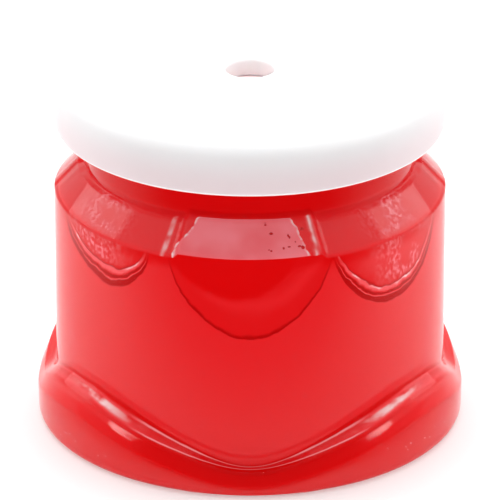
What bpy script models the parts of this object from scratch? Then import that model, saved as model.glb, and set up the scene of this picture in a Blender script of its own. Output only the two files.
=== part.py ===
"""A small screw-top jar of red paint.

Four pieces: a clear blow-moulded jar with a V-crested foot and a two-start neck thread, the paint in
it, a loose sealing disc, and a white cap with a hole in its middle and a matching thread.
Metres, +Z up, front of the jar towards -Y, origin on the ground under the middle of the jar.
"""
import math

import bmesh
import bpy

MM = 0.001
SIDES = 72                          # columns round the jar, one every 5 degrees

# Jar, outside
FOOT_R = 18.0 * MM
FOOT_ROUND = 0.8 * MM
STANDING_RING_R = 13.4 * MM         # inside edge of the flat ring that the jar stands on
PUSH_UP = 0.25 * MM                 # how far the middle of the base is raised
LABEL_R = 16.4 * MM
SHOULDER_Z = 20.9 * MM              # where the straight wall turns into the 45 degree shoulder
SHOULDER_TOP_R = 14.35 * MM
PANEL_DROP = 0.4 * MM               # the side panels of the shoulder lie this much lower
PANEL_EDGES = (22.5, 87.5, 92.5, 157.5)
SIDE_RIB = 0.15 * MM                # how far the narrow land between two side panels stands up
NECK_R = 13.8 * MM
RIM_Z = 28.18 * MM
RIM_ROUND = 0.25 * MM

# Jar, inside
WALL = 0.75 * MM
FLOOR_Z = 0.85 * MM
BORE_R = 12.8 * MM

# Crest round the foot: it dips to a V at the front and back, and to a shallower one at each side
PEAK_ANGLE = 55.0
PEAK_ROUND = 0.15 * MM               # how far the peaks of the crest are rounded down
DIP_ROUND = 14.0                    # degrees over which the tip of a dip is rounded
CREST_EDGE_R = 17.45 * MM
WALL_TOP = dict(front=1.05 * MM, side=2.6 * MM, peak=4.3 * MM, power=1.3, side_power=2.0)
CREST_EDGE = dict(front=2.12 * MM, side=3.7 * MM, peak=5.85 * MM, power=1.25, side_power=2.6)
LEDGE_ROOT = dict(front=2.15 * MM, side=4.5 * MM, peak=6.85 * MM, power=1.6, side_power=2.6)

# Paint: it stops short of the jar by one gap, and a film of it climbs the bore
GAP = 0.3 * MM
PAINT_LEVEL = 23.8 * MM
FILM_TOP = 26.4 * MM

# Thread, two starts, right-handed; the cap's ridges run half a pitch below the neck's
STARTS = 2
LEAD = 3.0 * MM
RIDGE_ROOT = 0.75 * MM              # width of a ridge at its root, inside the wall
RIDGE_TIP = 0.35 * MM
RIDGE_SPAN = 130.0                  # degrees that one ridge covers
RIDGE_STEP = 5.0
RIDGE_FADE = 14.0                   # degrees over which each end sinks into the wall
RIDGE_SINK = 0.35 * MM              # how deep a ridge is set into its wall
RIDGE_BURIED = 0.1 * MM             # how far its two ends dip below the wall's surface
NECK_THREAD_R = 14.65 * MM
CAP_THREAD_R = 14.15 * MM
THREAD_Z = 26.62 * MM
NECK_THREAD_START = 22.0

# Cap
CAP_R = 16.17 * MM
CAP_BOTTOM = 26.15 * MM
CAP_TOP = 30.88 * MM
CAP_ROUND = 2.5 * MM
CAP_PLATE = 1.5 * MM
CAP_INSIDE_R = 14.95 * MM
CAP_HOLE_R = 2.0 * MM
CAP_LIP = 0.35 * MM
SKIRT_LIP = 0.28 * MM

# Sealing disc, between the cap's plate and the jar's rim
SEAL_R = 14.45 * MM
SEAL_CLEAR = 0.25 * MM
SEAL_EDGE = 0.15 * MM
SEAL_TOP = CAP_TOP - CAP_PLATE - SEAL_CLEAR
SEAL_BOTTOM = RIM_Z + SEAL_CLEAR


def clear_scene():
    for thing in list(bpy.data.objects):
        bpy.data.objects.remove(thing, do_unlink=True)


def new_collection(name):
    collection = bpy.data.collections.new(name)
    bpy.context.scene.collection.children.link(collection)
    return collection


def new_material(name, colour, roughness, transmission=0.0):
    material = bpy.data.materials.new(name)
    material.use_nodes = True
    shader = material.node_tree.nodes["Principled BSDF"]
    shader.inputs["Base Color"].default_value = (*colour, 1.0)
    shader.inputs["Roughness"].default_value = roughness
    shader.inputs["Metallic"].default_value = 0.0
    shader.inputs["Transmission Weight"].default_value = transmission
    return material


def new_object(name, mesh, collection, material=None):
    thing = bpy.data.objects.new(name, mesh)
    collection.objects.link(thing)
    if material:
        mesh.materials.append(material)
    return thing


def around(radius, degrees, height):
    """A point at an angle from the front, turning towards +X."""
    angle = math.radians(degrees)
    return (radius * math.sin(angle), -radius * math.cos(angle), height)


def arc(centre_r, centre_z, radius, first, last, count):
    """Points on a quarter round of a profile, angles in degrees from straight out."""
    points = []
    for i in range(count):
        angle = math.radians(first + (last - first) * i / (count - 1))
        points.append((centre_r + radius * math.cos(angle), centre_z + radius * math.sin(angle)))
    return points


def shade_round(mesh, sharp_degrees=32.0):
    mesh.shade_smooth()
    mesh.set_sharp_from_angle(angle=math.radians(sharp_degrees))


# ---------------------------------------------------------------- shapes that change round the jar

def soft(degrees):
    """Distance from the tip of a dip, with the tip rounded."""
    return math.hypot(degrees, DIP_ROUND) - DIP_ROUND


def crest(degrees, front, side, peak, power, side_power):
    """Height of one line of the crest: low at the front and back, less low at the sides, its peak rounded."""
    away = abs(degrees) % 180.0
    away = min(away, 180.0 - away)
    if away < PEAK_ANGLE:
        low, share, bend = front, soft(away) / soft(PEAK_ANGLE), power
    else:
        low, share, bend = side, soft(90.0 - away) / soft(90.0 - PEAK_ANGLE), side_power
    below = (peak - low) * (1.0 - share) ** bend
    return peak - math.hypot(below, PEAK_ROUND)


def panel_drop(degrees):
    """The shoulder's side panels lie lower than its front and back lands, with a low rib between them."""
    away = min(degrees % 360.0, 360.0 - degrees % 360.0)
    first, rib_start, rib_end, last = PANEL_EDGES
    if rib_start <= away <= rib_end:
        return PANEL_DROP - SIDE_RIB
    return PANEL_DROP if first < away < last else 0.0


def outside_profile(degrees):
    """The jar's outer side at one angle, from the middle of the base up to the rim."""
    wall_top = crest(degrees, **WALL_TOP)
    edge = crest(degrees, **CREST_EDGE)
    root = crest(degrees, **LEDGE_ROOT)
    rise = root - edge
    ledge = CREST_EDGE_R - LABEL_R
    shoulder = SHOULDER_Z - panel_drop(degrees)
    shoulder_top = shoulder + LABEL_R - SHOULDER_TOP_R + 0.1 * MM
    profile = [(0.0, PUSH_UP), (STANDING_RING_R - PUSH_UP, PUSH_UP), (STANDING_RING_R, 0.0)]
    profile += arc(FOOT_R - FOOT_ROUND, FOOT_ROUND, FOOT_ROUND, -90.0, 0.0, 4)
    profile += [
        (FOOT_R, wall_top - 0.1 * MM),
        (FOOT_R - 0.06 * MM, wall_top + 0.08 * MM),
        (CREST_EDGE_R + 0.16 * MM, edge - 0.15 * MM),
        (CREST_EDGE_R, edge),
        (CREST_EDGE_R - 0.35 * ledge, edge + 0.30 * rise),
        (CREST_EDGE_R - 0.75 * ledge, edge + 0.68 * rise),
        (LABEL_R + 0.04 * MM, root),
        (LABEL_R, root + 0.35 * MM),
        (LABEL_R - 0.02 * MM, shoulder - 0.4 * MM),
        (LABEL_R - 0.12 * MM, shoulder - 0.1 * MM),
        (LABEL_R - 0.30 * MM, shoulder + 0.15 * MM),
        (SHOULDER_TOP_R + 0.10 * MM, shoulder_top - 0.15 * MM),
        (SHOULDER_TOP_R - 0.05 * MM, shoulder_top),
        (NECK_R + 0.15 * MM, shoulder_top + 0.03 * MM),
        (NECK_R, shoulder_top + 0.2 * MM),
    ]
    profile += arc(NECK_R - RIM_ROUND, RIM_Z - RIM_ROUND, RIM_ROUND, 0.0, 90.0, 3)
    return profile


def inside_profile(degrees, gap=0.0):
    """The hollow's side at one angle, from the bore down to the middle of the floor.

    With a gap it is the side of what fills the hollow, that far from the wall.
    """
    shoulder = SHOULDER_Z - panel_drop(degrees) - 0.32 * MM
    radius = LABEL_R - WALL
    edge = crest(degrees, **CREST_EDGE)
    root = crest(degrees, **LEDGE_ROOT)
    slope = (root - edge) / (CREST_EDGE_R - LABEL_R)
    floor = FLOOR_Z + gap
    flare_root = max(root - WALL + 0.42 * MM * slope - gap, floor + 0.15 * MM)
    flare_edge = max(edge - 0.95 * WALL - gap, floor + 0.25 * MM)
    flare_low = max(crest(degrees, **WALL_TOP) - 0.1 * MM - gap, floor + 0.1 * MM)
    return [
        (BORE_R - gap, shoulder + radius - BORE_R - gap),
        (radius - 0.25 * MM - gap, shoulder + 0.25 * MM - gap),
        (radius - gap, shoulder - 0.3 * MM - gap),
        (radius - gap, flare_root + 0.2 * MM),
        (radius + 0.1 * MM - gap, flare_root),
        (CREST_EDGE_R - WALL - gap, flare_edge),
        (FOOT_R - WALL - gap, flare_low),
        (FOOT_R - WALL - 0.25 * MM - gap, floor),
        (0.0, floor),
    ]


def loft(name, profile_at, collection, material):
    """A closed body whose profile, from axis to axis, changes with the angle round it."""
    mesh_builder = bmesh.new()
    profiles = [profile_at(360.0 * i / SIDES) for i in range(SIDES)]
    rings = []
    for k, (radius, height) in enumerate(profiles[0]):
        if radius == 0.0:
            rings.append([mesh_builder.verts.new((0.0, 0.0, height))])
            continue
        ring = []
        for i in range(SIDES):
            ring.append(mesh_builder.verts.new(around(profiles[i][k][0], 360.0 * i / SIDES, profiles[i][k][1])))
        rings.append(ring)
    for low, high in zip(rings, rings[1:]):
        for i in range(SIDES):
            j = (i + 1) % SIDES
            if len(low) == 1:
                corners = (low[0], high[j], high[i])
            elif len(high) == 1:
                corners = (low[i], low[j], high[0])
            else:
                corners = (low[i], low[j], high[j], high[i])
            mesh_builder.faces.new(corners)
    mesh = bpy.data.meshes.new(name)
    mesh_builder.to_mesh(mesh)
    mesh_builder.free()
    return new_object(name, mesh, collection, material)


def lathe(name, profile, closed, collection, material, steps=SIDES):
    """A turned body: the profile runs outwards over the top and down its outer side."""
    mesh = bpy.data.meshes.new(name)
    edges = [(i, i + 1) for i in range(len(profile) - 1)]
    if closed:
        edges.append((len(profile) - 1, 0))
    mesh.from_pydata([(radius, 0.0, height) for radius, height in profile], edges, [])
    thing = new_object(name, mesh, collection, material)
    screw = thing.modifiers.new("turn", "SCREW")
    screw.axis = "Z"
    screw.steps = steps
    screw.render_steps = steps
    screw.use_merge_vertices = True
    screw.merge_threshold = 0.01 * MM
    screw.use_smooth_shade = True
    return thing


def ridge(name, wall_r, tip_r, start, collection):
    """One helical thread ridge, its root set into the wall and its two ends faded out."""
    count = round(RIDGE_SPAN / RIDGE_STEP)
    inward = -1.0 if tip_r < wall_r else 1.0
    mesh_builder = bmesh.new()
    sections = []
    for i in range(count + 1):
        turned = RIDGE_SPAN * i / count
        fade = min(turned, RIDGE_SPAN - turned) / RIDGE_FADE
        height = min(fade, 1.0)
        middle = THREAD_Z + LEAD * turned / 360.0
        tip = wall_r + (tip_r - wall_r) * height - inward * RIDGE_BURIED * (1.0 - height)
        root = wall_r - inward * RIDGE_SINK
        outline = [
            (root, middle - RIDGE_ROOT / 2.0),
            (tip, middle - RIDGE_TIP / 2.0),
            (tip, middle + RIDGE_TIP / 2.0),
            (root, middle + RIDGE_ROOT / 2.0),
        ]
        section = [mesh_builder.verts.new(around(radius, start + turned, z)) for radius, z in outline]
        sections.append(section)
    for near, far in zip(sections, sections[1:]):
        for a in range(len(near)):
            b = (a + 1) % len(near)
            mesh_builder.faces.new((near[a], near[b], far[b], far[a]))
    mesh_builder.faces.new(sections[0])
    mesh_builder.faces.new(sections[-1])
    bmesh.ops.recalc_face_normals(mesh_builder, faces=mesh_builder.faces)
    mesh = bpy.data.meshes.new(name)
    mesh_builder.to_mesh(mesh)
    mesh_builder.free()
    thing = new_object(name, mesh, collection)
    thing.hide_render = True
    thing.display_type = "WIRE"
    return thing


def add_thread(body, wall_r, tip_r, first_start, guides):
    """Join the ridges of a thread to the body that carries it."""
    for i in range(STARTS):
        start = first_start + 360.0 * i / STARTS
        union = body.modifiers.new("thread_%d" % (i + 1), "BOOLEAN")
        union.operation = "UNION"
        union.solver = "EXACT"
        union.object = ridge("%s_ridge_%d" % (body.name, i + 1), wall_r, tip_r, start, guides)


# ------------------------------------------------------------------------------------- the pieces

def build_jar(parts, guides):
    clear = new_material("clear_plastic", (0.92, 0.90, 0.90), 0.06, transmission=1.0)

    def whole_profile(degrees):
        bore_top = arc(BORE_R + RIM_ROUND, RIM_Z - RIM_ROUND, RIM_ROUND, 90.0, 180.0, 3)
        return outside_profile(degrees) + bore_top + inside_profile(degrees)

    jar = loft("jar_body", whole_profile, parts, clear)
    shade_round(jar.data)
    add_thread(jar, NECK_R, NECK_THREAD_R, NECK_THREAD_START, guides)
    return jar


def build_paint(parts):
    red = new_material("red_paint", (0.72, 0.008, 0.012), 0.12)
    bore = BORE_R - GAP
    top = [
        (0.0, PAINT_LEVEL),
        (8.5 * MM, PAINT_LEVEL + 0.03 * MM),
        (10.8 * MM, PAINT_LEVEL + 0.3 * MM),
        (11.7 * MM, PAINT_LEVEL + 1.1 * MM),
        (bore - 0.25 * MM, FILM_TOP),
        (bore, FILM_TOP - 0.1 * MM),
    ]

    def whole_profile(degrees):
        upward = list(reversed(inside_profile(degrees, GAP)))
        return upward + list(reversed(top))

    paint = loft("paint_fill", whole_profile, parts, red)
    shade_round(paint.data)
    return paint


def build_seal(parts):
    natural = new_material("natural_disc", (0.88, 0.80, 0.80), 0.35)
    profile = [
        (0.0, SEAL_TOP),
        (SEAL_R - SEAL_EDGE, SEAL_TOP),
        (SEAL_R, SEAL_TOP - SEAL_EDGE),
        (SEAL_R, SEAL_BOTTOM + SEAL_EDGE),
        (SEAL_R - SEAL_EDGE, SEAL_BOTTOM),
        (0.0, SEAL_BOTTOM),
    ]
    return lathe("seal_disc", profile, False, parts, natural)


def build_cap(parts, guides):
    white = new_material("white_cap", (0.93, 0.92, 0.92), 0.3)
    plate_under = CAP_TOP - CAP_PLATE
    profile = [(CAP_HOLE_R, plate_under)]
    profile += arc(CAP_HOLE_R + CAP_LIP, CAP_TOP - CAP_LIP, CAP_LIP, 180.0, 90.0, 4)
    profile += arc(CAP_R - CAP_ROUND, CAP_TOP - CAP_ROUND, CAP_ROUND, 90.0, 0.0, 7)
    profile += arc(CAP_R - SKIRT_LIP, CAP_BOTTOM + SKIRT_LIP, SKIRT_LIP, 0.0, -90.0, 3)
    profile += [
        (CAP_INSIDE_R + 0.25 * MM, CAP_BOTTOM),
        (CAP_INSIDE_R, CAP_BOTTOM + 0.25 * MM),
        (CAP_INSIDE_R, plate_under - 0.35 * MM),
        (CAP_INSIDE_R - 0.35 * MM, plate_under),
    ]
    cap = lathe("screw_cap", profile, True, parts, white)
    half_pitch = 180.0 / STARTS
    add_thread(cap, CAP_INSIDE_R, CAP_THREAD_R, NECK_THREAD_START + half_pitch, guides)
    return cap


def main():
    clear_scene()
    parts = new_collection("paint_jar")
    guides = new_collection("cutters")
    build_jar(parts, guides)
    build_paint(parts)
    build_seal(parts)
    build_cap(parts, guides)


main()
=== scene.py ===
"""Looks of the small screw-top paint jar: clear jar, red paint, sealing disc and white cap."""
import math

import bmesh
import bpy
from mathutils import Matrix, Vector
from mathutils import noise


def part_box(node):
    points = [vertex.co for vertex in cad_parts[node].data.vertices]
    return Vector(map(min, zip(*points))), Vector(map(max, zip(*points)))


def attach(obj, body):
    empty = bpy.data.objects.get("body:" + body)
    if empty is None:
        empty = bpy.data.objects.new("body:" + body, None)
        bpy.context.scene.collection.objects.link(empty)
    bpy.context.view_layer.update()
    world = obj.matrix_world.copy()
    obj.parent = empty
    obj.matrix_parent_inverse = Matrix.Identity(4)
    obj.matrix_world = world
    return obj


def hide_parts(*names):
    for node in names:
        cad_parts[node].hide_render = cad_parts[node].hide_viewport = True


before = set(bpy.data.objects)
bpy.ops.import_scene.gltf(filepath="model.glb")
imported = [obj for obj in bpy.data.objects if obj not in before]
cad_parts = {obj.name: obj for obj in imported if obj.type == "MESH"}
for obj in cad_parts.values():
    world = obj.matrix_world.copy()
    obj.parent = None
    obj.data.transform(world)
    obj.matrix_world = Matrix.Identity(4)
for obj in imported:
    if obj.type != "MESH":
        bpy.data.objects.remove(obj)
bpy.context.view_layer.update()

MM = 0.001
SIDES = 480                          # columns round every turned piece

# ---- sizes read from the frame
JAR_LOW, JAR_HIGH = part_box("jar_body")
CAP_LOW, CAP_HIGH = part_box("screw_cap")
SEAL_LOW, SEAL_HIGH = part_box("seal_disc")
FOOT_R = JAR_HIGH.x
RIM_Z = JAR_HIGH.z
CAP_R = CAP_HIGH.x
CAP_TOP = CAP_HIGH.z
CAP_BOTTOM = CAP_LOW.z
SEAL_R = SEAL_HIGH.x

# ---- the jar's own sizes, as in the CAD
LABEL_R = 16.4 * MM
SHOULDER_Z = 20.9 * MM
SHOULDER_TOP_R = 14.35 * MM
PANEL_DROP = 0.4 * MM
PANEL_EDGES = (22.5, 87.5, 92.5, 157.5)
SIDE_RIB = 0.15 * MM
PANEL_RAMP = 1.3                     # degrees over which a panel's end steps down
NECK_R = 13.8 * MM
BORE_R = 12.8 * MM
STANDING_RING_R = 13.4 * MM
PUSH_UP = 0.25 * MM
WALL = 0.75 * MM
SHOULDER_SINK = 0.32 * MM            # how much lower the shoulder starts inside the jar than outside
FLOOR_Z = 0.85 * MM
PEAK_ANGLE = 55.0
PEAK_ROUND = 0.15 * MM               # how far the peaks of the crest are rounded down
DIP_ROUND = 14.0                     # degrees over which the tip of a dip is rounded
CREST_EDGE_R = 17.45 * MM
WALL_TOP = dict(front=1.05 * MM, side=2.6 * MM, peak=4.3 * MM, power=1.3, side_power=2.0)
CREST_EDGE = dict(front=2.12 * MM, side=3.7 * MM, peak=5.85 * MM, power=1.25, side_power=2.6)
LEDGE_ROOT = dict(front=2.15 * MM, side=4.5 * MM, peak=6.85 * MM, power=1.6, side_power=2.6)

# ---- thread
THREAD = dict(lead=3.0, starts=2, z=26.62, root=0.66, tip=0.28, span=130.0, fade=14.0)
NECK_THREAD_START = 22.0
NECK_THREAD_HEIGHT = 0.83 * MM
CAP_INSIDE_R = 14.95 * MM
CAP_THREAD_HEIGHT = 0.78 * MM

# ---- cap
CAP_ROUND = 2.5 * MM
CAP_PLATE = 1.5 * MM
CAP_HOLE_R = 2.0 * MM
SEAL_BOSS_R = 3.4 * MM               # raised middle of the sealing disc, pressed against the cap

# ---- paint
PAINT_LEVEL = 23.8 * MM
FILM_TOP = 26.4 * MM
WETTING = 0.05 * MM                  # how far the paint is set into the wall it touches
FOOT_SKIN = 0.15 * MM                # clear plastic left outside the paint round the foot
SEEN_LOWER = 0.24 * MM               # how much lower the paint lies than where the wall shows it
NOWHERE = -9.0                       # stands for a distance that does not apply


# ================================================================ shapes that change round the jar

def soft(degrees):
    """Distance from the tip of a dip, with the tip rounded."""
    return math.hypot(degrees, DIP_ROUND) - DIP_ROUND


def smooth(value):
    """Eased step from 0 to 1 as the value goes from 0 to 1."""
    value = min(max(value, 0.0), 1.0)
    return value * value * (3.0 - 2.0 * value)


def crest(degrees, front, side, peak, power, side_power):
    """Height of one line of the crest: low at the front and back, less low at the sides, its peak rounded."""
    away = abs(degrees) % 180.0
    away = min(away, 180.0 - away)
    if away < PEAK_ANGLE:
        low, share, bend = front, soft(away) / soft(PEAK_ANGLE), power
    else:
        low, share, bend = side, soft(90.0 - away) / soft(90.0 - PEAK_ANGLE), side_power
    below = (peak - low) * (1.0 - share) ** bend
    return peak - math.hypot(below, PEAK_ROUND)


def panel_drop(degrees):
    """The shoulder's side panels lie lower than its front and back lands, with a low rib between them."""
    away = min(degrees % 360.0, 360.0 - degrees % 360.0)
    first, rib_start, rib_end, last = PANEL_EDGES
    recess = smooth((away - first) / PANEL_RAMP + 0.5) * smooth((last - away) / PANEL_RAMP + 0.5)
    rib = smooth((away - rib_start) / PANEL_RAMP + 0.5) * smooth((rib_end - away) / PANEL_RAMP + 0.5)
    return PANEL_DROP * recess - SIDE_RIB * rib


def rounded(corners, steps=6):
    """A profile through corners (radius, height, fillet), each fillet an arc of the same number of points."""
    points = []
    for i, (radius, height, fillet) in enumerate(corners):
        here = Vector((radius, height))
        if fillet == 0.0 or i in (0, len(corners) - 1):
            points.append((radius, height))
            continue
        back = Vector(corners[i - 1][:2]) - here
        ahead = Vector(corners[i + 1][:2]) - here
        half = back.angle(ahead) / 2.0
        reach = fillet / max(math.tan(half), 1e-4)
        reach = min(reach, 0.45 * back.length, 0.45 * ahead.length)
        start = here + back.normalized() * reach
        end = here + ahead.normalized() * reach
        for k in range(steps):
            t = k / (steps - 1)
            bow = start * (1 - t) ** 2 + here * (2 * t * (1 - t)) + end * t ** 2
            points.append((bow.x, bow.y))
    return points


def between(first, last, count):
    """Points strictly between two profile points."""
    return [
        (first[0] + (last[0] - first[0]) * i / (count + 1), first[1] + (last[1] - first[1]) * i / (count + 1))
        for i in range(1, count + 1)
    ]


def filled(points, spans):
    """Adds extra points after chosen points of a profile: spans maps an index to a count."""
    result = []
    for i, point in enumerate(points):
        result.append(point)
        if i in spans:
            result += between(point, points[i + 1], spans[i])
    return result


def outside_profile(degrees):
    """The jar's outer side at one angle, from the middle of the base up to the neck's foot."""
    shoulder = SHOULDER_Z - panel_drop(degrees)
    shoulder_top = shoulder + LABEL_R - SHOULDER_TOP_R + 0.1 * MM
    edge = crest(degrees, **CREST_EDGE)
    root = crest(degrees, **LEDGE_ROOT)
    return rounded([
        (0.0, PUSH_UP, 0.0),
        (STANDING_RING_R - 1.2 * MM, PUSH_UP, 0.9 * MM),
        (STANDING_RING_R, 0.0, 0.25 * MM),
        (FOOT_R, 0.0, 0.9 * MM),
        (FOOT_R, crest(degrees, **WALL_TOP), 0.8 * MM),
        (CREST_EDGE_R, edge, 0.42 * MM),
        (LABEL_R, root, 0.6 * MM),
        (LABEL_R - 0.04 * MM, shoulder + 0.02 * MM, 0.35 * MM),
        (SHOULDER_TOP_R, shoulder_top, 0.12 * MM),
        (NECK_R, shoulder_top + 0.08 * MM, 0.14 * MM),
        (NECK_R, shoulder_top + 0.6 * MM, 0.0),
    ])


HOLLOW_FOOT = ((FOOT_R - WALL, FLOOR_Z, 0.3 * MM), (0.0, FLOOR_Z, 0.0))
RED_FOOT = (
    (FOOT_R - FOOT_SKIN, FOOT_SKIN, 0.8 * MM),
    (STANDING_RING_R + 0.2 * MM, FOOT_SKIN, 0.2 * MM),
    (STANDING_RING_R - 1.0 * MM, PUSH_UP + FOOT_SKIN, 0.2 * MM),
    (0.0, PUSH_UP + FOOT_SKIN, 0.0),
)


def inside_profile(degrees, foot=HOLLOW_FOOT):
    """The hollow's side at one angle, from the bore down to the middle of its floor."""
    shoulder = SHOULDER_Z - panel_drop(degrees) - SHOULDER_SINK
    radius = LABEL_R - WALL
    edge = crest(degrees, **CREST_EDGE)
    root = crest(degrees, **LEDGE_ROOT)
    slope = (root - edge) / (CREST_EDGE_R - LABEL_R)
    corners = rounded([
        (BORE_R, RIM_Z - 1.0 * MM, 0.0),
        (BORE_R, shoulder + radius - BORE_R, 0.4 * MM),
        (radius, shoulder, 0.5 * MM),
        (radius, root - WALL + 0.42 * MM * slope, 0.6 * MM),
        (CREST_EDGE_R - WALL, edge - 0.95 * WALL, 0.3 * MM),
        (foot[0][0], crest(degrees, **WALL_TOP) - 0.1 * MM, 0.3 * MM),
        *foot,
    ])
    return filled(corners, {0: 10, 6: 12, 12: 80, 18: 4, 24: 4})


# ================================================================ mesh helpers

def around(radius, degrees, height):
    """A point at an angle from the front, turning towards +X."""
    angle = math.radians(degrees)
    return (radius * math.sin(angle), -radius * math.cos(angle), height)


def new_piece(name, mesh, material=None):
    piece = bpy.data.objects.new(name, mesh)
    bpy.context.scene.collection.objects.link(piece)
    if material:
        mesh.materials.append(material)
    return piece


def loft(name, profile_at, material, sides=SIDES, closed=False):
    """A closed body whose profile changes round it: from axis to axis, or a closed ring of points."""
    builder = bmesh.new()
    profiles = [profile_at(360.0 * i / sides) for i in range(sides)]
    rings = []
    for k, (radius, height) in enumerate(profiles[0]):
        if radius == 0.0:
            rings.append([builder.verts.new((0.0, 0.0, height))])
            continue
        rings.append([
            builder.verts.new(around(profiles[i][k][0], 360.0 * i / sides, profiles[i][k][1]))
            for i in range(sides)
        ])
    pairs = list(zip(rings, rings[1:]))
    if closed:
        pairs.append((rings[-1], rings[0]))
    for low, high in pairs:
        for i in range(sides):
            j = (i + 1) % sides
            if len(low) == 1:
                corners = (low[0], high[j], high[i])
            elif len(high) == 1:
                corners = (low[i], low[j], high[0])
            else:
                corners = (low[i], low[j], high[j], high[i])
            builder.faces.new(corners)
    mesh = bpy.data.meshes.new(name)
    builder.to_mesh(mesh)
    builder.free()
    mesh.shade_smooth()
    return new_piece(name, mesh, material)


def make_plain(piece):
    """Turns what the piece's modifiers make into its own mesh and takes the modifiers off."""
    graph = bpy.context.evaluated_depsgraph_get()
    mesh = bpy.data.meshes.new_from_object(piece.evaluated_get(graph))
    piece.modifiers.clear()
    piece.data = mesh
    return piece


# ================================================================ geometry node trees

def geometry_tree(name, inputs):
    tree = bpy.data.node_groups.new(name, "GeometryNodeTree")
    tree.interface.new_socket("Geometry", in_out="INPUT", socket_type="NodeSocketGeometry")
    for label, kind in inputs:
        tree.interface.new_socket(label, in_out="INPUT", socket_type="NodeSocket" + kind)
    tree.interface.new_socket("Geometry", in_out="OUTPUT", socket_type="NodeSocketGeometry")
    return tree


def feed(tree, socket, value):
    """Links a value that comes from a node, or sets a plain one."""
    if isinstance(value, bpy.types.NodeSocket):
        tree.links.new(value, socket)
    else:
        socket.default_value = value


def calc(tree, operation, *values):
    node = tree.nodes.new("ShaderNodeMath")
    node.operation = operation
    for socket, value in zip(node.inputs, values):
        feed(tree, socket, value)
    return node.outputs[0]


def product(tree, first, *others):
    for other in others:
        first = calc(tree, "MULTIPLY", first, other)
    return first


def inverse(tree, value):
    return calc(tree, "SUBTRACT", 1.0, value)


def ramp(tree, value, low, high):
    """0 below low, 1 above high, eased between them."""
    node = tree.nodes.new("ShaderNodeMapRange")
    node.interpolation_type = "SMOOTHSTEP"
    feed(tree, node.inputs["Value"], value)
    feed(tree, node.inputs["From Min"], low)
    feed(tree, node.inputs["From Max"], high)
    return node.outputs[0]


def end_tree(tree, geometry, material):
    """Makes real geometry of what the tree built, in its material."""
    realize = tree.nodes.new("GeometryNodeRealizeInstances")
    finish = tree.nodes.new("GeometryNodeSetMaterial")
    out = tree.nodes.new("NodeGroupOutput")
    tree.links.new(geometry, realize.inputs[0])
    tree.links.new(realize.outputs[0], finish.inputs["Geometry"])
    tree.links.new(material, finish.inputs["Material"])
    tree.links.new(finish.outputs[0], out.inputs[0])


def apply_tree(piece, tree, values):
    """Puts a tree on a piece with its inputs set, then makes the result the piece's plain mesh."""
    modifier = piece.modifiers.new(tree.name, "NODES")
    modifier.node_group = tree
    for item in tree.interface.items_tree:
        if item.item_type == "SOCKET" and item.in_out == "INPUT" and item.name in values:
            modifier[item.identifier] = values[item.name]
    return make_plain(piece)


def screw_thread_tree():
    """Raises the ridges of a screw thread on the round wall of a turned piece."""
    tree = geometry_tree("screw_thread", [
        ("Wall Radius", "Float"), ("Height", "Float"), ("First Angle", "Float"), ("Starts", "Float"),
        ("Lead", "Float"), ("Start Z", "Float"), ("Root Width", "Float"), ("Tip Width", "Float"),
        ("Span", "Float"), ("Fade", "Float"), ("Material", "Material"),
    ])
    given = tree.nodes.new("NodeGroupInput").outputs
    position = tree.nodes.new("GeometryNodeInputPosition")
    split = tree.nodes.new("ShaderNodeSeparateXYZ")
    tree.links.new(position.outputs[0], split.inputs[0])
    x, y, z = split.outputs
    flat = tree.nodes.new("ShaderNodeCombineXYZ")
    tree.links.new(x, flat.inputs[0])
    tree.links.new(y, flat.inputs[1])
    length = tree.nodes.new("ShaderNodeVectorMath")
    length.operation = "LENGTH"
    tree.links.new(flat.outputs[0], length.inputs[0])
    angle = calc(tree, "DEGREES", calc(tree, "ARCTAN2", x, calc(tree, "MULTIPLY", y, -1.0)))
    apart = calc(tree, "DIVIDE", 360.0, given["Starts"])
    along = calc(tree, "FLOORED_MODULO", calc(tree, "SUBTRACT", angle, given["First Angle"]), apart)
    rise = calc(tree, "MULTIPLY", given["Lead"], calc(tree, "DIVIDE", along, 360.0))
    off = calc(tree, "ABSOLUTE", calc(tree, "SUBTRACT", z, calc(tree, "ADD", given["Start Z"], rise)))
    root_half = calc(tree, "MULTIPLY", given["Root Width"], 0.5)
    tip_half = calc(tree, "MULTIPLY", given["Tip Width"], 0.5)
    profile = inverse(tree, ramp(tree, off, tip_half, root_half))
    to_end = calc(tree, "MINIMUM", along, calc(tree, "SUBTRACT", given["Span"], along))
    ends = ramp(tree, to_end, 0.0, given["Fade"])
    from_wall = calc(tree, "ABSOLUTE", calc(tree, "SUBTRACT", length.outputs["Value"], given["Wall Radius"]))
    on_wall = calc(tree, "LESS_THAN", from_wall, 0.3 * MM)
    amount = product(tree, profile, ends, on_wall, given["Height"])
    outward = tree.nodes.new("ShaderNodeVectorMath")
    outward.operation = "NORMALIZE"
    tree.links.new(flat.outputs[0], outward.inputs[0])
    push = tree.nodes.new("ShaderNodeVectorMath")
    push.operation = "SCALE"
    tree.links.new(outward.outputs[0], push.inputs[0])
    tree.links.new(amount, push.inputs["Scale"])
    move = tree.nodes.new("GeometryNodeSetPosition")
    tree.links.new(given["Geometry"], move.inputs["Geometry"])
    tree.links.new(push.outputs[0], move.inputs["Offset"])
    end_tree(tree, move.outputs[0], given["Material"])
    return tree


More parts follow.
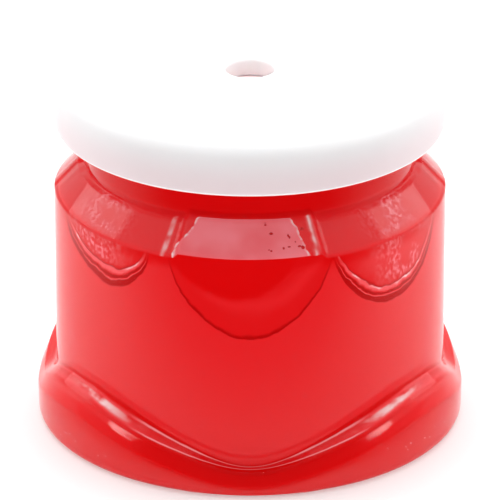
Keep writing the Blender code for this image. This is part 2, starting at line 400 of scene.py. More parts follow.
def spatter_tree():
    """Strews flattened drops over a patch of wall."""
    tree = geometry_tree("paint_spatter", [
        ("Density", "Float"), ("Smallest", "Float"), ("Largest", "Float"), ("Flatness", "Float"),
        ("Seed", "Int"), ("Material", "Material"),
    ])
    given = tree.nodes.new("NodeGroupInput").outputs
    strew = tree.nodes.new("GeometryNodeDistributePointsOnFaces")
    tree.links.new(given["Geometry"], strew.inputs["Mesh"])
    tree.links.new(given["Density"], strew.inputs["Density"])
    tree.links.new(given["Seed"], strew.inputs["Seed"])
    drop = tree.nodes.new("GeometryNodeMeshIcoSphere")
    drop.inputs["Radius"].default_value = 1.0
    drop.inputs["Subdivisions"].default_value = 2
    size = tree.nodes.new("FunctionNodeRandomValue")
    size.data_type = "FLOAT_VECTOR"
    squat = calc(tree, "MULTIPLY", given["Largest"], given["Flatness"])
    for corner, amount in ((size.inputs[0], given["Smallest"]), (size.inputs[1], given["Largest"])):
        vector = tree.nodes.new("ShaderNodeCombineXYZ")
        tree.links.new(amount, vector.inputs[0])
        tree.links.new(amount, vector.inputs[1])
        tree.links.new(squat, vector.inputs[2])
        tree.links.new(vector.outputs[0], corner)
    tree.links.new(given["Seed"], size.inputs["Seed"])
    put = tree.nodes.new("GeometryNodeInstanceOnPoints")
    tree.links.new(strew.outputs["Points"], put.inputs["Points"])
    tree.links.new(drop.outputs["Mesh"], put.inputs["Instance"])
    tree.links.new(strew.outputs["Rotation"], put.inputs["Rotation"])
    tree.links.new(size.outputs[0], put.inputs["Scale"])
    end_tree(tree, put.outputs[0], given["Material"])
    return tree


# ================================================================ materials

def colour_group(name, inputs, outputs):
    group = bpy.data.node_groups.new(name, "ShaderNodeTree")
    for label, value in inputs:
        socket = group.interface.new_socket(label, in_out="INPUT", socket_type="NodeSocketFloat")
        socket.default_value = value
    for label in outputs:
        group.interface.new_socket(label, in_out="OUTPUT", socket_type="NodeSocketFloat")
    return group


def moulded_skin_group():
    """Fine waviness of a moulded skin, and the light scuffs of handling on it."""
    group = colour_group("moulded_skin", [("Wave Size", 400.0), ("Scuff Size", 900.0), ("Scuff Amount", 0.1)],
                         ["Waves", "Scuffs"])
    given = group.nodes.new("NodeGroupInput").outputs
    out = group.nodes.new("NodeGroupOutput").inputs
    place = group.nodes.new("ShaderNodeTexCoord").outputs["Object"]
    waves = group.nodes.new("ShaderNodeTexNoise")
    waves.inputs["Detail"].default_value = 2.0
    group.links.new(place, waves.inputs["Vector"])
    group.links.new(given["Wave Size"], waves.inputs["Scale"])
    stretch = group.nodes.new("ShaderNodeMapping")
    stretch.inputs["Scale"].default_value = (1.0, 1.0, 0.2)
    group.links.new(place, stretch.inputs["Vector"])
    scuffs = group.nodes.new("ShaderNodeTexNoise")
    scuffs.inputs["Detail"].default_value = 6.0
    scuffs.inputs["Roughness"].default_value = 0.7
    group.links.new(stretch.outputs[0], scuffs.inputs["Vector"])
    group.links.new(given["Scuff Size"], scuffs.inputs["Scale"])
    patchy = ramp(group, scuffs.outputs[0], 0.52, 0.75)
    group.links.new(waves.outputs[0], out["Waves"])
    group.links.new(calc(group, "MULTIPLY", patchy, given["Scuff Amount"]), out["Scuffs"])
    return group


def new_material(name, colour, roughness, **sockets):
    material = bpy.data.materials.new(name)
    material.use_nodes = True
    shader = material.node_tree.nodes["Principled BSDF"]
    shader.inputs["Base Color"].default_value = (*colour, 1.0)
    shader.inputs["Roughness"].default_value = roughness
    for label, value in sockets.items():
        shader.inputs[label.replace("_", " ")].default_value = value
    return material, material.node_tree, shader


def add_skin(tree, shader, skin, base_roughness, wave_size, wave_height, scuff_size, scuff_amount):
    """Gives a material the moulded skin: scuffs in its roughness and waves in its bump."""
    node = tree.nodes.new("ShaderNodeGroup")
    node.node_tree = skin
    node.inputs["Wave Size"].default_value = wave_size
    node.inputs["Scuff Size"].default_value = scuff_size
    node.inputs["Scuff Amount"].default_value = scuff_amount
    tree.links.new(calc(tree, "ADD", node.outputs["Scuffs"], base_roughness), shader.inputs["Roughness"])
    bump = tree.nodes.new("ShaderNodeBump")
    bump.inputs["Strength"].default_value = 1.0
    bump.inputs["Distance"].default_value = wave_height
    tree.links.new(node.outputs["Waves"], bump.inputs["Height"])
    tree.links.new(bump.outputs[0], shader.inputs["Normal"])
    return node


def let_light_through(tree, shader):
    """Shadow and diffuse rays pass straight through the clear wall, so light reaches what it holds."""
    path = tree.nodes.new("ShaderNodeLightPath")
    through = calc(tree, "MAXIMUM", path.outputs["Is Shadow Ray"], path.outputs["Is Diffuse Ray"])
    clear = tree.nodes.new("ShaderNodeBsdfTransparent")
    mix = tree.nodes.new("ShaderNodeMixShader")
    tree.links.new(through, mix.inputs[0])
    tree.links.new(shader.outputs[0], mix.inputs[1])
    tree.links.new(clear.outputs[0], mix.inputs[2])
    out = next(n for n in tree.nodes if n.type == "OUTPUT_MATERIAL")
    tree.links.new(mix.outputs[0], out.inputs["Surface"])


def clear_jar_plastic(skin):
    material, tree, shader = new_material("clear_jar_plastic", (1.0, 0.985, 0.985), 0.0, IOR=1.25,
                                          Transmission_Weight=1.0)
    add_skin(tree, shader, skin, 0.01, 260.0, 0.004 * MM, 700.0, 0.05)
    let_light_through(tree, shader)
    return material


def mark_of(tree, name):
    node = tree.nodes.new("ShaderNodeAttribute")
    node.attribute_name = name
    return node.outputs["Fac"]


def mottle(tree, size, detail, flat=1.0):
    """Noise of a feature size in metres, stretched up the wall when flat is below 1."""
    place = tree.nodes.new("ShaderNodeTexCoord").outputs["Object"]
    stretch = tree.nodes.new("ShaderNodeMapping")
    stretch.inputs["Scale"].default_value = (1.0, 1.0, flat)
    tree.links.new(place, stretch.inputs["Vector"])
    node = tree.nodes.new("ShaderNodeTexNoise")
    node.inputs["Scale"].default_value = 1.0 / size
    node.inputs["Detail"].default_value = detail
    tree.links.new(stretch.outputs[0], node.inputs["Vector"])
    return node.outputs[0]


def tint(tree, under, mask, colour):
    """Lays a colour over another one where the mask is 1."""
    mix = tree.nodes.new("ShaderNodeMix")
    mix.data_type = "RGBA"
    feed(tree, mix.inputs[0], mask)
    for socket, value in ((mix.inputs[6], under), (mix.inputs[7], colour)):
        feed(tree, socket, value if isinstance(value, bpy.types.NodeSocket) else (*value, 1.0))
    return mix.outputs[2]


def banded(tree, value, reach, bands):
    """A colour ramp over 0 to reach: bands are (where it starts, colour)."""
    node = tree.nodes.new("ShaderNodeValToRGB")
    tree.links.new(calc(tree, "DIVIDE", value, reach), node.inputs[0])
    stops = node.color_ramp.elements
    stops[0].position, stops[0].color = bands[0][0] / reach, (*bands[0][1], 1.0)
    stops[1].position, stops[1].color = bands[-1][0] / reach, (*bands[-1][1], 1.0)
    for start, colour in bands[1:-1]:
        stop = stops.new(start / reach)
        stop.color = (*colour, 1.0)
    return node.outputs["Color"]


# Paint colours, from the deepest to the palest: the body red of the paint, darker reds that are painted shade
# and painted dark reflections, and pinks and whites that are painted highlights and the painted reflection of
# thin air films
BODY_RED = (0.86, 0.0085, 0.012)
# Painted shade and painted dark reflections: under the shoulder and the cap, atop the pockets and on the
# crest
DEEP_SHADE_RED = (0.76, 0.0008, 0.0015)
# Painted shade along the outlines of the air pockets
SHADE_LINE_RED = (0.52, 0.0006, 0.0012)
# Greyer red: painted reflection of the floor on the foot wall
FOOT_FLOOR_REFLECTION_RED = (0.80, 0.014, 0.016)
# A little darker red: painted shade of the paint behind the air pockets; also laid on the crest's ledge
CLEAR_RED = (0.80, 0.004, 0.006)
# Painted highlight lines in the side pockets
LINE_HIGHLIGHT_RED = (0.95, 0.075, 0.085)
# Pink of thin air films between paint and wall: painted reflection of the wall's inner face
FILM_SHEEN_PINK = (1.0, 0.24, 0.28)
# Painted highlight lines along the crest
LINE_HIGHLIGHT_PINK = (1.0, 0.30, 0.32)
# Painted sheen on the crest's ledge at the sides
SHEEN_RED = (0.90, 0.035, 0.042)
# Painted dark reflection on the crest's flank at the sides
FLANK_DARK_REFLECTION_RED = (0.82, 0.0055, 0.008)
# Painted highlights
HIGHLIGHT_WHITE = (1.0, 0.70, 0.70)
DRY_SHEEN = 0.6                      # gloss of paint that does not quite wet the wall

# Each band starts so many millimetres above the lower edge of a pocket
POCKET_REACH = 4.0
# Front and back pockets: a painted shade line along the lower edge, then painted shade a little darker inside
FRONT_BANDS = (
    (0.0, BODY_RED), (0.05, SHADE_LINE_RED), (0.2, SHADE_LINE_RED), (0.45, CLEAR_RED), (1.9, CLEAR_RED),
    (3.0, BODY_RED), (4.0, CLEAR_RED),
)
# Side pockets: painted shade lines and painted highlight lines, a little darker inside as painted shade
SIDE_BANDS = (
    (0.0, BODY_RED), (0.06, SHADE_LINE_RED), (0.55, SHADE_LINE_RED), (0.62, LINE_HIGHLIGHT_RED), (0.7, CLEAR_RED), (0.8, SHADE_LINE_RED),
    (0.95, SHADE_LINE_RED), (1.08, BODY_RED), (1.25, LINE_HIGHLIGHT_RED), (1.4, LINE_HIGHLIGHT_RED),
    (1.5, LINE_HIGHLIGHT_RED), (1.58, SHADE_LINE_RED), (1.75, CLEAR_RED), (4.0, BODY_RED),
)
# Down the wall and out over the crest: the ledge goes from 2, at its root, to about 3, at its outer edge
LEDGE_REACH = 4.0
LEDGE_ROOT_AT = 2.0
# Front and back of the crest: painted shade above the root, painted highlight lines at the root and at the
# outer edge, painted dark reflection below the edge
LEDGE_BANDS = (
    (0.0, BODY_RED), (1.93, BODY_RED), (1.98, DEEP_SHADE_RED), (2.3, DEEP_SHADE_RED),
    (2.36, LINE_HIGHLIGHT_PINK), (2.4, LINE_HIGHLIGHT_PINK), (2.48, CLEAR_RED), (2.85, BODY_RED),
    (2.89, LINE_HIGHLIGHT_PINK), (2.92, LINE_HIGHLIGHT_PINK), (2.96, DEEP_SHADE_RED), (4.0, DEEP_SHADE_RED),
)
# Sides of the crest: painted shade above the root, painted sheen on the ledge, painted dark reflection on the
# flank
SIDE_LEDGE_BANDS = (
    (0.0, BODY_RED), (1.93, BODY_RED), (1.98, DEEP_SHADE_RED), (2.32, DEEP_SHADE_RED), (2.4, SHEEN_RED), (2.52, CLEAR_RED),
    (2.86, SHEEN_RED), (2.95, FLANK_DARK_REFLECTION_RED), (4.0, FLANK_DARK_REFLECTION_RED),
)


def red_paint():
    """Red paint behind the clear wall, with the outlines that air pockets and thin films leave in it and with
    painted shade, highlights and reflections.
    """
    material, tree, shader = new_material("red_paint", BODY_RED, 0.35, IOR=1.45, Specular_IOR_Level=0.0,
                                          Coat_Roughness=0.06, Coat_IOR=1.5)
    uneven = calc(tree, "SUBTRACT", mottle(tree, 2.6 * MM, 2.0), 0.5)
    crisp = calc(tree, "SUBTRACT", mottle(tree, 0.5 * MM, 3.0), 0.5)
    wander = calc(tree, "MULTIPLY_ADD", uneven, 1.2, calc(tree, "MULTIPLY", crisp, 0.3))
    rise = calc(tree, "ADD", mark_of(tree, "pocket_rise"), wander)
    at_side = mark_of(tree, "side_pocket")
    front = banded(tree, rise, POCKET_REACH, FRONT_BANDS)
    side = banded(tree, rise, POCKET_REACH, SIDE_BANDS)
    colour = tint(tree, front, at_side, side)
    # Painted highlight along a bead in the side pockets, broken up by noise
    bead = product(tree, ramp(tree, rise, 1.28, 1.42), inverse(tree, ramp(tree, rise, 1.46, 1.56)), at_side,
                   ramp(tree, mottle(tree, 2.0 * MM, 2.0), 0.45, 0.7))
    colour = tint(tree, colour, bead, HIGHLIGHT_WHITE)

    unsteady = calc(tree, "MULTIPLY_ADD", crisp, 0.05, LEDGE_ROOT_AT)
    across = calc(tree, "ADD", mark_of(tree, "ledge_across"), unsteady)
    # The crest's painted shade, highlight lines and dark reflection, with painted sheen instead of lines at
    # the sides
    ledge = tint(tree, banded(tree, across, LEDGE_REACH, SIDE_LEDGE_BANDS), mark_of(tree, "ridge_highlight"),
                 banded(tree, across, LEDGE_REACH, LEDGE_BANDS))
    over_ledge = ramp(tree, across, 1.86, 1.9)
    colour = tint(tree, colour, calc(tree, "MAXIMUM", mark_of(tree, "flank"), over_ledge), ledge)
    # Painted highlights where the crest's ledge catches the light
    silk = ramp(tree, mottle(tree, 2.6 * MM, 3.0, 2.6), 0.42, 0.64)
    on_ledge = product(tree, ramp(tree, across, 2.42, 2.56), inverse(tree, ramp(tree, across, 2.7, 2.88)))
    colour = tint(tree, colour, product(tree, silk, on_ledge, mark_of(tree, "glint")), HIGHLIGHT_WHITE)
    # Painted reflection of the floor on the foot wall
    colour = tint(tree, colour, mark_of(tree, "foot_wall"), FOOT_FLOOR_REFLECTION_RED)
    colour = tint(tree, colour, mark_of(tree, "flank_line"), DEEP_SHADE_RED)
    # Painted shade at the top of the front and back pockets
    top_shade = ramp(tree, calc(tree, "ADD", mark_of(tree, "top_shade_rise"), wander), -0.35, 0.35)
    colour = tint(tree, colour, top_shade, DEEP_SHADE_RED)
    # Painted shadow under the shoulder
    colour = tint(tree, colour, product(tree, mark_of(tree, "shoulder_shadow"), 0.8), DEEP_SHADE_RED)

    # Mottled pink on the side panels and in the side pockets: thin air films shown by painted reflection
    streaks = ramp(tree, mottle(tree, 0.28 * MM, 4.0, 0.7), 0.42, 0.64)
    patches = ramp(tree, mottle(tree, 2.0 * MM, 3.0), 0.36, 0.6)
    on_shoulder = inverse(tree, ramp(tree, mark_of(tree, "pocket_rise"), NOWHERE + 0.2, NOWHERE + 0.4))
    in_pocket = ramp(tree, rise, 1.65, 2.1)
    film_sheen = product(tree, streaks, patches, mark_of(tree, "side_film_sheen"),
                   calc(tree, "MAXIMUM", on_shoulder, in_pocket), 0.8)
    colour = tint(tree, colour, film_sheen, FILM_SHEEN_PINK)

    # Pink on the front and back lands: thin air films shown by painted reflection of the light above
    land = calc(tree, "ADD", mark_of(tree, "land_film_sheen"), calc(tree, "MULTIPLY", wander, 1.5))
    land_film_sheen = ramp(tree, land, 0.0, 0.08)
    bright = product(tree, ramp(tree, mottle(tree, 3.5 * MM, 2.0), 0.25, 0.75), land_film_sheen)
    land_sheen = calc(tree, "MULTIPLY_ADD", bright, 0.45, calc(tree, "MULTIPLY", land_film_sheen, 0.5))
    colour = tint(tree, colour, land_sheen, FILM_SHEEN_PINK)
    # Painted highlight along the edge of the lands' films
    film_rim_highlight = product(tree, ramp(tree, land, 0.0, 0.06), inverse(tree, ramp(tree, land, 0.1, 0.3)),
                  ramp(tree, crisp, -0.1, 0.15))
    colour = tint(tree, colour, film_rim_highlight, HIGHLIGHT_WHITE)
    # Painted highlights beside the panels' steps
    step = product(tree, mark_of(tree, "step_highlight"), ramp(tree, mottle(tree, 1.4 * MM, 2.0), 0.3, 0.6))
    colour = tint(tree, colour, step, HIGHLIGHT_WHITE)
    colour = tint(tree, colour, mark_of(tree, "shade"), DEEP_SHADE_RED)
    tree.links.new(colour, shader.inputs["Base Color"])
    parts = tree.nodes.new("ShaderNodeSeparateColor")
    tree.links.new(colour, parts.inputs[0])
    dry = calc(tree, "MULTIPLY", ramp(tree, parts.outputs["Green"], 0.001, 0.009), DRY_SHEEN)
    tree.links.new(calc(tree, "MAXIMUM", mark_of(tree, "free_surface"), dry), shader.inputs["Coat Weight"])
    return material


def drop_material(name, colour, darker):
    """A drop or bubble, a little uneven in colour and glossy where it is free."""
    material, tree, shader = new_material(name, colour, 0.25, IOR=1.4)
    uneven = ramp(tree, mottle(tree, 0.4 * MM, 2.0), 0.35, 0.65)
    tree.links.new(tint(tree, colour, uneven, darker), shader.inputs["Base Color"])
    return material


def white_cap_plastic(skin):
    """White plastic, painted a little pink low on its skirt as a reflection of the red jar."""
    material, tree, shader = new_material("white_cap_plastic", (0.92, 0.915, 0.915), 0.3, IOR=1.48,
                                          Subsurface_Weight=0.25, Subsurface_Scale=0.002)
    shader.inputs["Subsurface Radius"].default_value = (1.0, 0.9, 0.85)
    add_skin(tree, shader, skin, 0.28, 500.0, 0.004 * MM, 900.0, 0.12)
    split = tree.nodes.new("ShaderNodeSeparateXYZ")
    tree.links.new(tree.nodes.new("ShaderNodeTexCoord").outputs["Object"], split.inputs[0])
    height = split.outputs["Z"]
    # Painted reflection of the red jar: pinker low on the skirt
    low = inverse(tree, ramp(tree, height, CAP_BOTTOM + 0.8 * MM, CAP_TOP - 0.3 * MM))
    lip = inverse(tree, ramp(tree, height, CAP_BOTTOM + 0.15 * MM, CAP_BOTTOM + 0.3 * MM))
    colour = tint(tree, (0.905, 0.90, 0.905), low, (0.86, 0.725, 0.745))
    tree.links.new(tint(tree, colour, lip, (1.0, 1.0, 1.0)), shader.inputs["Base Color"])
    return material


def milky_disc_plastic(skin):
    # Its pink is painted light: the paint's red showing through the thin milky plastic
    material, tree, shader = new_material("milky_disc_plastic", (0.95, 0.70, 0.70), 0.4, IOR=1.5,
                                          Subsurface_Weight=0.4, Subsurface_Scale=0.002)
    add_skin(tree, shader, skin, 0.38, 600.0, 0.006 * MM, 900.0, 0.1)
    return material


# ================================================================ the pieces

def build_jar(thread, clear):
    def whole_profile(degrees):
        side = outside_profile(degrees)
        neck = rounded([
            side[-1] + (0.0,),
            (NECK_R, RIM_Z, 0.3 * MM),
            (BORE_R, RIM_Z, 0.3 * MM),
            (BORE_R, RIM_Z - 1.0 * MM, 0.0),
        ])
        neck = filled(neck, {0: 56, 6: 3})
        return side[:-1] + neck[:-1] + inside_profile(degrees)

    jar = loft("jar_shell", whole_profile, clear)
    apply_tree(jar, thread, {
        "Wall Radius": NECK_R, "Height": NECK_THREAD_HEIGHT, "First Angle": NECK_THREAD_START,
        "Starts": float(THREAD["starts"]), "Lead": THREAD["lead"] * MM, "Start Z": THREAD["z"] * MM,
        "Root Width": THREAD["root"] * MM, "Tip Width": THREAD["tip"] * MM,
        "Span": THREAD["span"], "Fade": THREAD["fade"], "Material": clear,
    })
    return jar


# What is stored at each point of the paint for its colour; the distances are NOWHERE where they do not apply
PAINT_MARKS = (
    "pocket_rise", "side_pocket", "top_shade_rise", "land_film_sheen", "side_film_sheen", "shoulder_shadow", "shade",
    "ledge_across", "flank", "glint", "foot_wall", "ridge_highlight", "flank_line", "step_highlight", "free_surface",
)
DISTANCE_MARKS = ("pocket_rise", "top_shade_rise", "land_film_sheen", "ledge_across")

# Air held under the shoulder: middle angle, half width to each side, lowest point, whether it is a side one
POCKETS = (
    (-0.5, 24.5, 25.5, 13.35 * MM, False),
    (-43.5, 28.0, 12.5, 16.1 * MM, True),
    (48.0, 23.0, 23.6, 14.6 * MM, True),
    (106.0, 24.0, 26.0, 15.4 * MM, True),
    (174.0, 27.0, 25.0, 13.9 * MM, False),
    (-112.0, 27.0, 25.0, 15.0 * MM, True),
)
# Painted shade at the top of a front or back pocket, under the shoulder's rim
POCKET_TOP_SHADES = ((-4.0, 20.0, 17.0, 16.95 * MM), (170.0, 19.0, 21.0, 17.2 * MM))
POCKET_TOP = 20.2 * MM
FILM_SHEEN_SIDES = (-55.0, 53.0, 128.0, -125.0)     # where the side panels keep a thin air film, pink by painted reflection
FILM_SHEEN_SPREAD = 9.0
# Thin air films on the front and back lands, pink by painted reflection: middle angle, left end and right end
# counted from it
LAND_FILM_SHEENS = ((0.0, -23.0, 17.6), (180.0, -20.0, 22.0))
GLINTS = (-49.0, 47.0, 131.0, -132.0)         # where the ledge of the crest catches the light
GLINT_SPREAD = 9.0
STEP_HIGHLIGHTS = (-26.6, 20.3, 154.0, -160.5)     # painted highlight lines beside the panels' steps
STEP_HIGHLIGHT_WIDTH = 0.55
RIDGE_ENDS = 29.0                    # degrees from the front or back where the crest's painted highlight lines fade
NECK_FOOT_Z = 24.0 * MM              # all of the paint above this is in the neck
LAND_FOOT_Z = 20.0 * MM              # above this, paint near the bore's radius is in the neck too
SHADE_Z = 22.6 * MM                  # where the cap starts to shade the neck
BARE_WALL_Z = 9.0 * MM               # pockets and their painted shade lie above this, the crest below it


def turned(degrees, middle):
    """Angle from a middle, between -180 and 180 degrees."""
    return (degrees - middle + 180.0) % 360.0 - 180.0


def nearness(degrees, middles, spread):
    """1 at any of the middles, falling off to 0 over the spread."""
    return max(math.exp(-(turned(degrees, middle) / spread) ** 2) for middle in middles)


def above_hollow(degrees, height, middle, left, right, low):
    """Height above the round lower edge of a pocket or of a patch of painted shade, in millimetres; negative
    below it.
    """
    away = turned(degrees, middle)
    share = min(abs(away) / (left if away < 0.0 else right), 1.5)
    edge = low + (POCKET_TOP - low) * (0.75 * share ** 2 + 0.25 * share ** 12)
    return (height - edge) / MM


def paint_marks(degrees, radius, height):
    """What the wall shows of the paint at one point, as the values of PAINT_MARKS."""
    marks = dict.fromkeys(PAINT_MARKS, 0.0)
    marks.update(dict.fromkeys(DISTANCE_MARKS, NOWHERE))
    wall_r = LABEL_R - WALL
    shoulder = SHOULDER_Z - panel_drop(degrees) - SHOULDER_SINK
    if height > NECK_FOOT_Z or radius < BORE_R + 0.5 * MM and height > LAND_FOOT_Z:
        marks["shade"] = smooth((height - SHADE_Z) / (0.8 * MM))
        return marks
    side_film_sheen = nearness(degrees, FILM_SHEEN_SIDES, FILM_SHEEN_SPREAD)
    if height > shoulder - 0.1 * MM:
        slope = (wall_r - radius) / (wall_r - BORE_R)
        marks["side_film_sheen"] = side_film_sheen * smooth(slope * 6.0) * smooth((1.0 - slope) * 4.0)
        marks["step_highlight"] = nearness(degrees, STEP_HIGHLIGHTS, STEP_HIGHLIGHT_WIDTH)
        for middle, left, right in LAND_FILM_SHEENS:
            away = turned(degrees, middle)
            inside = min(away - left - 6.0 * slope, right - 3.0 * slope - away)
            marks["land_film_sheen"] = max(marks["land_film_sheen"], math.radians(inside) * radius / MM)
        return marks
    if height > BARE_WALL_Z:
        rises = [(above_hollow(degrees, height, *pocket[:4]), pocket[4]) for pocket in POCKETS]
        rise, at_side = max(rises)
        marks["pocket_rise"] = max(rise, NOWHERE)
        marks["side_pocket"] = float(at_side)
        marks["top_shade_rise"] = max(NOWHERE, *(above_hollow(degrees, height, *top_shade) for top_shade in POCKET_TOP_SHADES))
        marks["side_film_sheen"] = side_film_sheen
        # Painted shadow of the shoulder, fading in below it
        marks["shoulder_shadow"] = smooth((height - shoulder + 1.5 * MM) / (1.2 * MM))
        return marks
    root, edge, wall_top = (crest(degrees, **line) for line in (LEDGE_ROOT, CREST_EDGE, WALL_TOP))
    reach = CREST_EDGE_R - LABEL_R
    inner_root = root - WALL + 0.42 * MM * (root - edge) / reach
    if radius < wall_r + 0.02 * MM:
        marks["ledge_across"] = (root - height - SEEN_LOWER) / reach
    else:
        marks["ledge_across"] = (radius - wall_r + root - inner_root - SEEN_LOWER) / reach
    marks["ledge_across"] = max(marks["ledge_across"], -2.0)
    marks["flank"] = smooth((abs(math.sin(math.radians(degrees))) - 0.2) / 0.5)
    marks["glint"] = nearness(degrees, GLINTS, GLINT_SPREAD)
    marks["foot_wall"] = smooth((wall_top - height - SEEN_LOWER) / (0.2 * MM))
    to_front = min(abs(degrees) % 180.0, 180.0 - abs(degrees) % 180.0)
    marks["ridge_highlight"] = 1.0 - smooth((to_front - RIDGE_ENDS) / 9.0)
    to_line = (wall_top - height + 0.1 * MM - SEEN_LOWER) / (0.16 * MM)
    on_flank = smooth((to_front - 28.0) / 8.0) * smooth((80.0 - to_front) / 8.0)
    marks["flank_line"] = 0.9 * math.exp(-to_line ** 2) * on_flank
    return marks


def build_paint(material):
    bore = BORE_R + WETTING
    top = rounded([
        (bore, FILM_TOP, 0.0),
        (bore - 0.3 * MM, FILM_TOP + 0.02 * MM, 0.1 * MM),
        (11.75 * MM, PAINT_LEVEL + 1.1 * MM, 0.8 * MM),
        (10.9 * MM, PAINT_LEVEL + 0.25 * MM, 0.9 * MM),
        (8.5 * MM, PAINT_LEVEL, 2.0 * MM),
        (0.0, PAINT_LEVEL, 0.0),
    ])
    top = filled(top, {6: 8, 12: 4})
    free = dict.fromkeys(PAINT_MARKS, 0.0)
    free.update(dict.fromkeys(DISTANCE_MARKS, NOWHERE), free_surface=1.0)
    marks = []

    def whole_profile(degrees):
        wall = inside_profile(degrees, RED_FOOT)
        cut = next(i for i, (radius, height) in enumerate(wall) if height < FILM_TOP)
        result = []
        for radius, height in reversed(wall[cut:]):
            marks.append(paint_marks(degrees, radius, height))
            result.append((radius + WETTING if radius > 0.0 else 0.0, height))
        for radius, height in top:
            sway = 0.12 * MM * noise.noise(Vector(around(radius, degrees, height)) / (3.0 * MM))
            if 0.0 < radius < bore:
                height += sway * smooth((bore - radius) / (0.6 * MM))
            result.append((radius, height))
            marks.append(free)
        return result

    paint = loft("red_paint_fill", whole_profile, material)
    count = len(marks) // SIDES
    for mark in PAINT_MARKS:
        layer = paint.data.attributes.new(mark, "FLOAT", "POINT")
        values = []
        for k in range(count):
            on_axis = k in (0, count - 1)
            values += [marks[i * count + k][mark] for i in range(1 if on_axis else SIDES)]
        layer.data.foreach_set("value", values)
    return paint


def wall_patch(name, profile_points, first, last, columns=24):
    """A patch of wall between two angles, for a tree to strew things on."""
    rows = [
        [around(radius, first + (last - first) * i / columns, height) for i in range(columns + 1)]
        for radius, height in profile_points
    ]
    vertices = [point for row in rows for point in row]
    width = columns + 1
    faces = [
        (k * width + i, k * width + i + 1, (k + 1) * width + i + 1, (k + 1) * width + i)
        for k in range(len(rows) - 1) for i in range(columns)
    ]
    mesh = bpy.data.meshes.new(name)
    mesh.from_pydata(vertices, [], faces)
    return new_piece(name, mesh)


def build_spatter(tree, drop_red, bubble_pale):
    """Drops of paint on the front and back lands and in the neck, and small bubbles held against the foot."""
    shoulder = SHOULDER_Z - SHOULDER_SINK
    inner = LABEL_R - WALL + WETTING
    slope = [(inner - d * MM, shoulder + d * MM) for d in (0.35, 1.0, 1.7, 2.4)]
    bore = [(BORE_R, FILM_TOP + 0.3 * MM), (BORE_R, RIM_Z - 0.7 * MM)]
    band = [(FOOT_R - FOOT_SKIN + WETTING, 1.2 * MM), (FOOT_R - FOOT_SKIN + WETTING, 2.6 * MM)]
    made = []
    for name, points, first, last, density, sizes, seed, material in (
        ("land_drops", slope, 5.0, 17.5, 1.2e6, (0.05, 0.17), 3, drop_red),
        ("back_land_drops", slope, 166.0, 196.0, 0.9e6, (0.07, 0.2), 5, drop_red),
        ("neck_drops", bore, 0.0, 360.0, 0.5e6, (0.06, 0.2), 8, drop_red),
        ("left_bubbles", band, -75.0, -38.0, 0.9e6, (0.02, 0.06), 12, bubble_pale),
        ("right_bubbles", band, 38.0, 70.0, 0.7e6, (0.02, 0.06), 14, bubble_pale),
    ):
        patch = wall_patch(name, points, first, last)
        smallest, largest = (size * MM for size in sizes)
        made.append(apply_tree(patch, tree, {
            "Density": density, "Smallest": smallest, "Largest": largest, "Flatness": 0.3, "Seed": seed,
            "Material": material,
        }))
        made[-1].data.shade_smooth()
    return made


def build_seal(material):
    low = SEAL_LOW.z
    high = SEAL_HIGH.z
    bead = SEAL_R - 2.4 * MM
    profile = rounded([
        (0.0, low, 0.0),
        (bead - 0.5 * MM, low, 0.1 * MM),
        (bead, low + 0.12 * MM, 0.2 * MM),
        (bead + 0.5 * MM, low, 0.1 * MM),
        (SEAL_R, low, 0.2 * MM),
        (SEAL_R, high, 0.2 * MM),
        (SEAL_BOSS_R + 0.2 * MM, high, 0.2 * MM),
        (SEAL_BOSS_R, CAP_TOP - CAP_PLATE - 0.03 * MM, 0.1 * MM),
        (0.0, CAP_TOP - CAP_PLATE - 0.03 * MM, 0.0),
    ])
    return loft("sealing_disc", lambda degrees: profile, material, sides=240)


def build_cap(thread, material):
    plate_under = CAP_TOP - CAP_PLATE
    corners = rounded([
        (CAP_HOLE_R, plate_under + 0.6 * MM, 0.0),
        (CAP_HOLE_R, plate_under, 0.02 * MM),
        (CAP_INSIDE_R - 1.9 * MM, plate_under, 0.1 * MM),
        (CAP_INSIDE_R, plate_under, 0.45 * MM),
        (CAP_INSIDE_R, CAP_BOTTOM, 0.3 * MM),
        (CAP_R, CAP_BOTTOM, 0.3 * MM),
        (CAP_R, CAP_TOP, CAP_ROUND * 1.25),
        (CAP_HOLE_R, CAP_TOP, 0.45 * MM),
        (CAP_HOLE_R, plate_under + 0.6 * MM, 0.0),
    ], steps=12)[:-1]
    profile = filled(corners, {36: 40, 60: 8, 72: 24})
    cap = loft("white_cap", lambda degrees: profile, material, closed=True)
    apply_tree(cap, thread, {
        "Wall Radius": CAP_INSIDE_R, "Height": -CAP_THREAD_HEIGHT,
        "First Angle": NECK_THREAD_START + 180.0 / THREAD["starts"],
        "Starts": float(THREAD["starts"]), "Lead": THREAD["lead"] * MM, "Start Z": THREAD["z"] * MM,
        "Root Width": THREAD["root"] * MM, "Tip Width": THREAD["tip"] * MM,
        "Span": THREAD["span"], "Fade": THREAD["fade"], "Material": material,
    })
    return cap


# ================================================================ stage, light and camera

ROOM_FRONT = 0.3
ROOM_SIDES = 0.95
ROOM_FILL = 0.68                     # the even light that falls on things
FLOOR_GLOW = 0.3                     # the floor's own light, so that it stays pale beside the white room


def softbox(name, place, aim, size, watts):
    light = bpy.data.lights.new(name, "AREA")
    light.shape = "ELLIPSE"
    light.size, light.size_y = size
    light.energy = watts
    lamp = bpy.data.objects.new(name, light)
    bpy.context.scene.collection.objects.link(lamp)
    lamp.location = place
    lamp.rotation_euler = (Vector(aim) - Vector(place)).to_track_quat("-Z", "Y").to_euler()
    return lamp


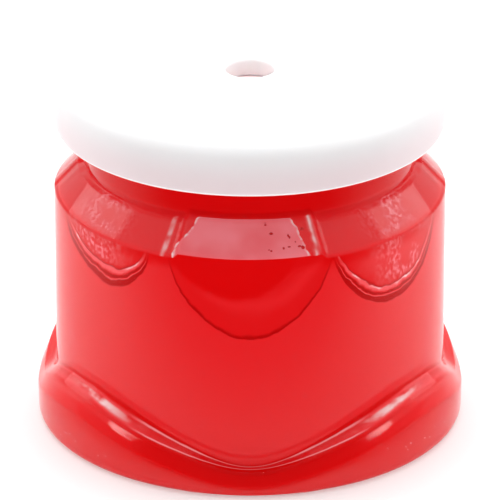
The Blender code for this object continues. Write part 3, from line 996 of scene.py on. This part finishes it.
def build_surround():
    """A white room: its front is darker to reflections and to the eye, and it fills with even light."""
    world = bpy.data.worlds.new("studio")
    bpy.context.scene.world = world
    world.use_nodes = True
    tree = world.node_tree
    direction = tree.nodes.new("ShaderNodeTexCoord").outputs["Generated"]
    split = tree.nodes.new("ShaderNodeSeparateXYZ")
    tree.links.new(direction, split.inputs[0])
    bright = ramp(tree, split.outputs["Y"], -0.95, 0.05)
    level = calc(tree, "MULTIPLY_ADD", bright, ROOM_SIDES - ROOM_FRONT, ROOM_FRONT)
    falling = tree.nodes.new("ShaderNodeLightPath").outputs["Is Diffuse Ray"]
    kept = product(tree, level, inverse(tree, falling))
    background = tree.nodes["Background"].inputs
    background["Color"].default_value = (1.0, 1.0, 1.0, 1.0)
    tree.links.new(calc(tree, "MULTIPLY_ADD", falling, ROOM_FILL, kept), background["Strength"])


def pale_floor():
    """Pale floor that a gloss sees darker in front of the jar, as if a dark card lay there."""
    material, tree, shader = new_material("pale_floor", (0.9, 0.9, 0.9), 0.6)
    split = tree.nodes.new("ShaderNodeSeparateXYZ")
    tree.links.new(tree.nodes.new("ShaderNodeTexCoord").outputs["Object"], split.inputs[0])
    in_front = inverse(tree, ramp(tree, split.outputs["Y"], -50.0 * MM, -4.0 * MM))
    in_gloss = tree.nodes.new("ShaderNodeLightPath").outputs["Is Glossy Ray"]
    carded = calc(tree, "MULTIPLY", in_front, in_gloss)
    tree.links.new(tint(tree, (0.7, 0.72, 0.72), carded, (0.1, 0.1, 0.1)), shader.inputs["Base Color"])
    glow = tint(tree, (FLOOR_GLOW, FLOOR_GLOW, FLOOR_GLOW), carded, (0.0, 0.0, 0.0))
    tree.links.new(glow, shader.inputs["Emission Color"])
    shader.inputs["Emission Strength"].default_value = 1.0
    return material


def build_stage():
    mesh = bpy.data.meshes.new("floor")
    size = 3.0
    corners = [(-size, -size, 0), (size, -size, 0), (size, size, 0), (-size, size, 0)]
    mesh.from_pydata(corners, [], [(0, 1, 2, 3)])
    floor = new_piece("floor", mesh, pale_floor())
    middle = (0.0, 0.0, 0.015)
    softbox("overhead_strip", (0.0, 0.04, 0.36), middle, (0.22, 0.10), 0.80)
    for side in (-1.0, 1.0):
        softbox("side_softbox", (side * 0.32, 0.16, 0.22), middle, (0.34, 0.22), 0.30)
    build_surround()
    bpy.context.scene.view_settings.view_transform = "Standard"


def build_camera():
    data = bpy.data.cameras.new("camera")
    data.sensor_width = 36.0
    data.lens = 366.7
    camera = bpy.data.objects.new("camera", data)
    bpy.context.scene.collection.objects.link(camera)
    distance = 0.4287
    elevation = math.radians(24.03)
    aim_z = 14.32 * MM
    camera.location = (0.0, -distance * math.cos(elevation), aim_z + distance * math.sin(elevation))
    camera.rotation_euler = (math.radians(90.0) - elevation, 0.0, 0.0)
    data.clip_start = 0.01
    data.clip_end = 20.0
    bpy.context.scene.camera = camera


def main():
    build_camera()
    build_stage()
    skin = moulded_skin_group()
    thread = screw_thread_tree()
    jar = build_jar(thread, clear_jar_plastic(skin))
    paint = build_paint(red_paint())
    drop_red = drop_material("red_drop", (0.62, 0.001, 0.002), (0.5, 0.0006, 0.001))
    # The bubbles against the foot are painted pale as the glints they catch: painted highlight
    bubble_pale = drop_material("pale_bubble", (1.0, 0.75, 0.75), (1.0, 0.5, 0.5))
    for piece in build_spatter(spatter_tree(), drop_red, bubble_pale):
        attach(piece, "jar")
    seal = build_seal(milky_disc_plastic(skin))
    cap = build_cap(thread, white_cap_plastic(skin))
    for piece, body, node, slot in (
        (jar, "jar", "jar_body", "clear_plastic"),
        (paint, "jar", "paint_fill", "red_paint"),
        (seal, "disc", "seal_disc", "natural_plastic"),
        (cap, "cap", "screw_cap", "white_plastic"),
    ):
        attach(piece, body)
        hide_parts(node)


main()
